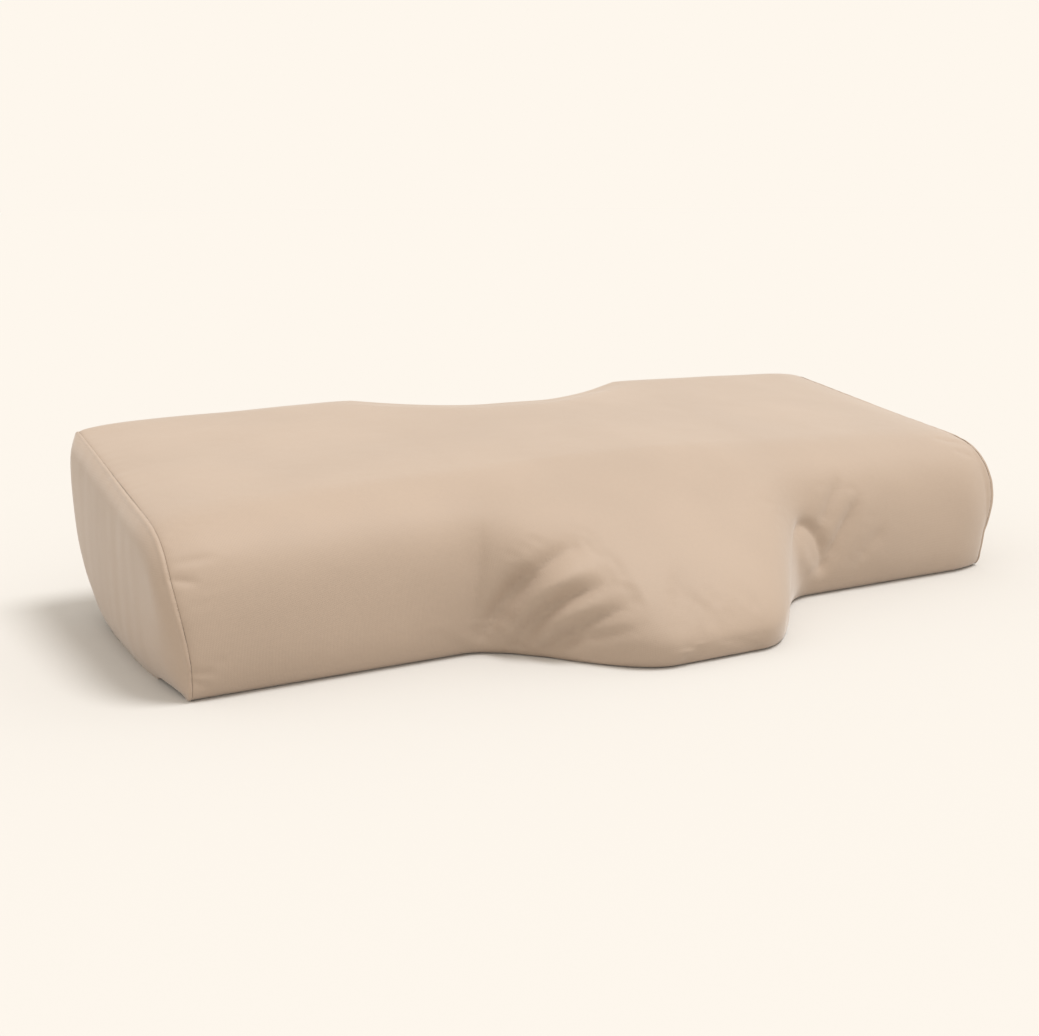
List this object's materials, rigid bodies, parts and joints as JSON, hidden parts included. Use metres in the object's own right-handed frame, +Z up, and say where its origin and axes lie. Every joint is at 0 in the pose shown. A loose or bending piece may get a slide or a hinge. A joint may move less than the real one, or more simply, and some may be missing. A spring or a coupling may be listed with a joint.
{
  "type": "lumbar support cushion",
  "caption": "Wide wedge foam cushion with a rounded front tongue and a scooped back, in a zipped beige fabric cover with sewn end panels.",
  "frame": {"origin": "on the floor, under the middle of the cushion's bounding box", "axes": "+X along the cushion's length, to the right as seen from the front; -Y towards the tongue at the front; +Z up"},
  "size_m": [0.6, 0.2952, 0.1205],
  "materials": {
    "cover": "soft satin knit, champagne beige",
    "cover_thread": "twisted polyester thread",
    "liner": "matt white jersey",
    "liner_thread": "twisted polyester thread",
    "foam": "matt open-cell foam",
    "zip_tape": "woven tape",
    "zip_coil": "satin nylon",
    "zip_slider": "satin enamel",
    "zip_pull": "satin enamel",
    "zip_stop": "satin enamel",
    "label": "matt woven satin"
  },
  "bodies": {
    "cushion": {"foam_core": "foam", "liner_wrap": "liner", "liner_left_end": "liner", "liner_right_end": "liner", "liner_left_seam_thread": "liner_thread", "liner_right_seam_thread": "liner_thread", "cover_wrap_panel": "cover", "cover_left_end_panel": "cover", "cover_right_end_panel": "cover", "left_end_seam_thread": "cover_thread", "right_end_seam_thread": "cover_thread", "care_label": "label", "zip_tape_front": "zip_tape", "zip_tape_rear": "zip_tape", "zip_coil_front": "zip_coil", "zip_coil_rear": "zip_coil", "zip_stitching_front": "cover_thread", "zip_stitching_rear": "cover_thread", "zip_top_stop_front": "zip_stop", "zip_top_stop_rear": "zip_stop", "zip_bottom_stop": "zip_stop"},
    "slider": {"zip_slider_body": "zip_slider"},
    "pull_tab": {"zip_pull_tab": "zip_pull"}
  },
  "joints": [
    {"name": "zip_slide", "type": "slide", "parent": "cushion", "child": "slider", "axis": [1, 0, 0], "range_m": [0, 0.5396]},
    {"name": "pull_tab_swing", "type": "hinge", "parent": "slider", "child": "pull_tab", "pos_m": [-0.269, -0.042, 0.00135], "axis": [0, 1, 0], "range_deg": [0, 170]}
  ]
}
